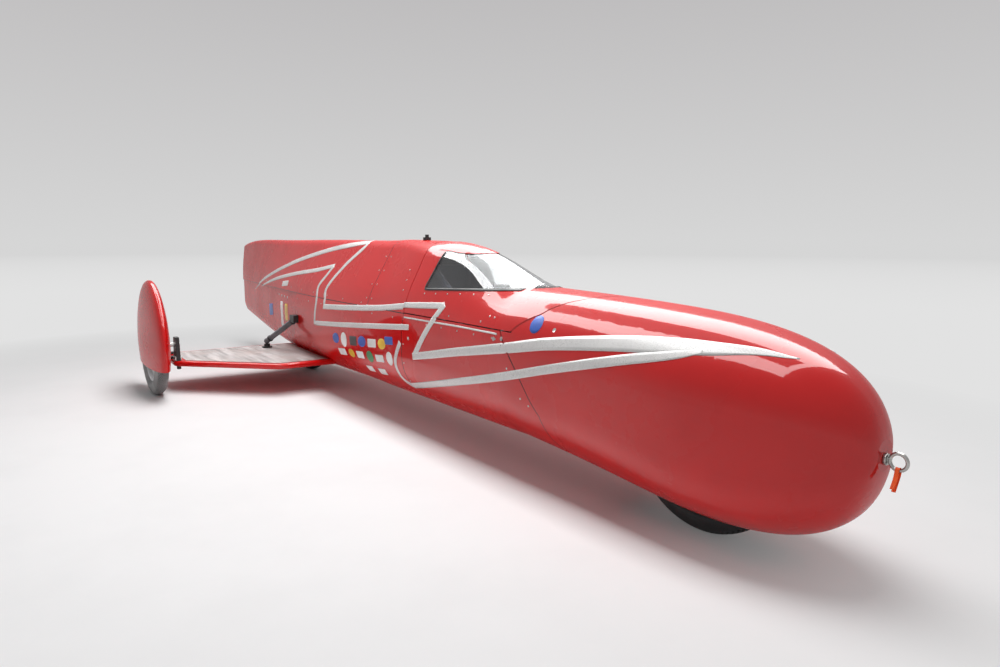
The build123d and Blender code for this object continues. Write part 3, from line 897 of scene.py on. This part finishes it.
# red roof tongue over the top of the screen, its half width at each station
brow = {"outline": ((2086, 103), (2026, 99), (1960, 98), (1900, 92), (1861, 83), (1830, 70), (1811, 57), (1796, 38),
                    (1786, 8)),
        "across": 28, "step": 6.0, "narrowest": 1.0, "lift": 0.0008, "thick": 0.0016}


def makeBrow():
    line = smoothPath([(s, half, 0.0) for s, half in brow["outline"]], brow["step"])
    tongue = newGrid("roofTongue", len(line), brow["across"])
    for vertex in tongue.data.vertices:
        spot = line[gridStep(vertex.co.x, len(line))]
        hit, normal = onTop(spot.x, vertex.co.y * 2 * max(spot.y, brow["narrowest"]))
        vertex.co = hit + normal * brow["lift"]
    faceAlong(tongue, Vector((0, 0, 1)))
    addWall(tongue, brow["thick"], 1.0)
    smooth(tongue)
    dress(tongue, finishes["podRed"], "canopy")
    print("roof tongue laid")


makeBrow()

# window seal along the sill and rear edge of the screen
seal = {"path": ((1420, 748, 9), (1500, 744, 9), (1700, 735, 9), (1900, 726, 9), (2030, 720, 9), (2050, 728, 9),
                 (2042, 780, 9), (2030, 850, 9), (2022, 892, 9)), "cells": 3, "lift": 0.0006, "thick": 0.0022}


def makeSeal():
    parts = []
    for hand, mark in hands:
        strip, _ = layTape("seal" + mark, seal["path"], hand, seal["lift"], seal["cells"])
        faceAlong(strip, Vector((0, hand, 0)))
        parts.append(strip)
    whole = joinAll("windowSeal", parts)
    softShade(whole)
    addWall(whole, seal["thick"], 1.0)
    dress(whole, finishes["blackPlastic"], "canopy")
    print("seal laid")


makeSeal()

# sidecar pod: a smooth teardrop, open below, with a hole for the axle in its inner side
podShape = {"station": 3874, "side": -1101, "around": 96, "steps": 8, "power": 2.1, "wall": 0.004, "weld": 0.0002,
            "rows": ((185, 356, 376, 58), (320, 378, 404, 64), (470, 338, 376, 59), (596, 240, 294, 46),
                     (670, 130, 182, 30), (700, 50, 80, 13), (706, 0, 0, 0)),  # height, ahead, behind, half width
            "holeRadius": 0.040, "holeDepth": 0.1, "holeSide": 70, "holeHeight": 300, "sharp": 50}


def makePod():
    rows = softRows(podShape["rows"], podShape["steps"])
    pod = newGrid("podShell", podShape["around"] + 1, len(rows) - 1)
    for vertex in pod.data.vertices:
        turn = (vertex.co.x + 0.5) * 2 * math.pi
        height, ahead, behind, half = rows[gridStep(vertex.co.y, len(rows))]
        along, across = (math.copysign(abs(part) ** (2 / podShape["power"]), part)
                         for part in (math.cos(turn), math.sin(turn)))
        along *= ahead if along > 0 else behind
        vertex.co = at(podShape["station"] - along, podShape["side"] + across * half, height)
    weld(pod, podShape["weld"])
    evenNormals(pod)
    addWall(pod, podShape["wall"])
    clearSelection()
    bpy.ops.mesh.primitive_cylinder_add(vertices=40, radius=podShape["holeRadius"], depth=podShape["holeDepth"],
                                        rotation=(math.pi / 2, 0, 0),
                                        location=at(podShape["station"], podShape["side"] + podShape["holeSide"],
                                                    podShape["holeHeight"]))
    cutter = bpy.context.object
    settle(cutter)
    hole = pod.modifiers.new("hole", "BOOLEAN")
    hole.object, hole.operation = cutter, "DIFFERENCE"
    applyAll(pod)
    bpy.data.objects.remove(cutter)
    smooth(pod, podShape["sharp"])
    dress(pod, finishes["podRed"], "chassis")
    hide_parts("pod")
    print("pod made")


makePod()

# bolts, knob and clamp at the outrigger's tip
tip = {"bolts": ((3950, -970, 214), (3970, -970, 214), (4140, -970, 214), (4160, -970, 214), (3950, -1018, 214),
                 (4150, -1018, 214)),
       "knobAt": (3900, -960, 166), "knobRadius": 0.013, "knobHeight": 0.03, "knobEdge": (0.004, 3), "knobSharp": 50,
       "clampAt": (3874, -972, 212), "clampSize": (0.074, 0.04, 0.022), "clampInset": 0.008, "clampRise": 0.006,
       "clampEdge": (0.0016, 2)}


def makeTipBolts():
    bolt = makeHead(*fasteners["bolt"])
    up = Vector((0, 0, 1))
    half = up * fasteners["bolt"][2] / 2
    bolts = placeCopies(bolt, [(at(*spot) + half, up) for spot in tip["bolts"]], "tipBolts")
    bpy.data.objects.remove(bolt)
    dress(bolts, finishes["blackMetal"], "chassis")


def makeTipKnob():
    clearSelection()
    bpy.ops.mesh.primitive_cylinder_add(vertices=20, radius=tip["knobRadius"], depth=tip["knobHeight"],
                                        location=at(*tip["knobAt"]) - Vector((0, 0, tip["knobHeight"] / 2)))
    knob = bpy.context.object
    knob.name = "tipKnob"
    settle(knob)
    roundEdges(knob, *tip["knobEdge"])
    smooth(knob, tip["knobSharp"])
    dress(knob, finishes["blackPlastic"], "chassis")


def makeTipClamp():
    clearSelection()
    bpy.ops.mesh.primitive_cube_add(size=1, location=at(*tip["clampAt"]))
    clamp = bpy.context.object
    clamp.name = "tipClamp"
    clamp.scale = tip["clampSize"]
    settle(clamp)
    openEdit(clamp, lambda poly: poly.normal.z > 0.9)
    bpy.ops.mesh.inset(thickness=tip["clampInset"])
    bpy.ops.mesh.extrude_region_move(TRANSFORM_OT_translate={"value": (0, 0, tip["clampRise"])})
    closeEdit()
    roundEdges(clamp, *tip["clampEdge"])
    dress(clamp, finishes["steel"], "chassis")


# collars on the strut, at shares of its length
collars = {"low": (4056, -352, 248), "high": (3790, -226, 425), "shares": (0.12, 0.86), "radius": 0.0195,
           "bar": 0.0035, "stretch": 2.2, "sharp": 60}


def makeCollars():
    low, high = at(*collars["low"]), at(*collars["high"])
    rings = []
    for share in collars["shares"]:
        clearSelection()
        bpy.ops.mesh.primitive_torus_add(major_segments=28, minor_segments=8, major_radius=collars["radius"],
                                         minor_radius=collars["bar"], location=low.lerp(high, share))
        ring = bpy.context.object
        ring.rotation_mode = "QUATERNION"
        ring.rotation_quaternion = (high - low).to_track_quat("Z", "Y")
        ring.scale = (1, 1, collars["stretch"])
        settle(ring)
        rings.append(ring)
    whole = joinAll("strutCollars", rings)
    smooth(whole, collars["sharp"])
    dress(whole, finishes["blackMetal"], "chassis")


makeTipBolts()
makeTipKnob()
makeTipClamp()
makeCollars()
print("outrigger parts made")

# floor, light and camera
studio = {"floor": (0.84, 0.84, 0.845, 1), "scuff": (0.74, 0.74, 0.745, 1), "floorSize": 120,
          "scuffNoise": (1.3, 6.0, 0.65), "scuffSpan": (0.45, 0.75, 0.0, 0.35), "floorRough": 0.62,
          "near": (0.76, 0.76, 0.76, 1), "far": (0.67, 0.67, 0.67, 1), "top": (0.51, 0.50, 0.505, 1), "topRise": 0.33,
          "oval": (0.8, 1.0, 1.0), "fade": (1.6, 3.8), "deepen": (9.0, 40.0),
          "keySize": (5.2, 1.6), "keyAt": (0.4, 0.3, 4.2), "keyPower": 205.0, "sky": 0.32,
          "silkSize": (8.4, 7.4), "silkAt": (-0.95, 2.0, 4.2), "silkPower": 1350.0}


def seenRay(tree):  # the backdrop shows to the eye and in mirrors and glass, and lights nothing
    path = addNode(tree, "ShaderNodeLightPath")
    mirrored = calc(tree, "MAXIMUM", path.outputs["Is Glossy Ray"], path.outputs["Is Transmission Ray"])
    return calc(tree, "MAXIMUM", path.outputs["Is Camera Ray"], mirrored)


def mixShaders(tree, factor, first, second, output):
    mixed = addNode(tree, "ShaderNodeMixShader")
    feed(tree, mixed.inputs[0], factor)
    tree.links.new(first.outputs[0], mixed.inputs[1])
    tree.links.new(second.outputs[0], mixed.inputs[2])
    tree.links.new(mixed.outputs[0], tree.nodes[output].inputs["Surface"])


def makeFloor():  # lit around the part, and fading into the backdrop's glow beyond
    clearSelection()
    bpy.ops.mesh.primitive_plane_add(size=studio["floorSize"])
    floor = bpy.context.object
    floor.name = "floor"
    material, tree, shader = newMaterial("studioFloor")
    point = objectPoint(tree)
    marks = spread(tree, noise(tree, point, *studio["scuffNoise"]), *studio["scuffSpan"])
    setShader(tree, shader, {"Base Color": blendColour(tree, marks, studio["floor"], studio["scuff"]),
                             "Roughness": studio["floorRough"], "Specular IOR Level": 0.0})
    away = vectorCalc(tree, "LENGTH", vectorCalc(tree, "MULTIPLY", point, studio["oval"]))
    fade = calc(tree, "MULTIPLY", spread(tree, away, *studio["fade"], 0.0, 1.0), seenRay(tree))
    deep = spread(tree, away, *studio["deepen"], 0.0, 1.0)
    glow = addNode(tree, "ShaderNodeEmission")
    feed(tree, glow.inputs["Color"], blendColour(tree, deep, studio["near"], studio["far"]))
    mixShaders(tree, fade, shader, glow, "Material Output")
    floor.data.materials.append(material)


def makeWorld():
    world = bpy.context.scene.world or bpy.data.worlds.new("studio")
    bpy.context.scene.world = world
    world.use_nodes = True
    tree = world.node_tree
    light = tree.nodes["Background"]
    light.inputs["Color"].default_value = (1, 1, 1, 1)
    light.inputs["Strength"].default_value = studio["sky"]
    height = splitPoint(tree, addNode(tree, "ShaderNodeTexCoord").outputs["Generated"])[2]
    rise = spread(tree, height, 0.0, studio["topRise"], 0.0, 1.0)
    back = addNode(tree, "ShaderNodeBackground")
    feed(tree, back.inputs["Color"], blendColour(tree, rise, studio["far"], studio["top"]))
    mixShaders(tree, seenRay(tree), light, back, "World Output")


def makeLamp(name, size, spot, power):
    lamp = bpy.data.lights.new(name, "AREA")
    lamp.shape = "RECTANGLE"
    lamp.size, lamp.size_y = size
    lamp.energy = power
    obj = bpy.data.objects.new(name, lamp)
    obj.location = spot
    obj.visible_camera = False
    bpy.context.scene.collection.objects.link(obj)
    return obj


def makeLamps():  # a soft key overhead, and the silk that shows in the gloss
    key = makeLamp("overhead", studio["keySize"], studio["keyAt"], studio["keyPower"])
    key.visible_glossy = False
    silk = makeLamp("silk", studio["silkSize"], studio["silkAt"], studio["silkPower"])
    silk.visible_diffuse = False


camera = {"at": (3.670, -1.3925, 0.95), "aim": (-0.8147, 0.5799), "pitch": 7.61, "lens": 25.2, "sensor": 36.0,
          "clip": (0.01, 300)}


def makeCamera():
    data = bpy.data.cameras.new("viewer")
    data.lens, data.sensor_width = camera["lens"], camera["sensor"]
    data.clip_start, data.clip_end = camera["clip"]
    obj = bpy.data.objects.new("viewer", data)
    fall = math.radians(camera["pitch"])
    aim = Vector((camera["aim"][0] * math.cos(fall), camera["aim"][1] * math.cos(fall), -math.sin(fall)))
    obj.location = camera["at"]
    obj.rotation_euler = aim.to_track_quat("-Z", "Y").to_euler()
    bpy.context.scene.collection.objects.link(obj)
    bpy.context.scene.camera = obj


makeFloor()
makeWorld()
makeLamps()
makeCamera()
bpy.context.scene.view_settings.view_transform = "Standard"
print("studio ready")
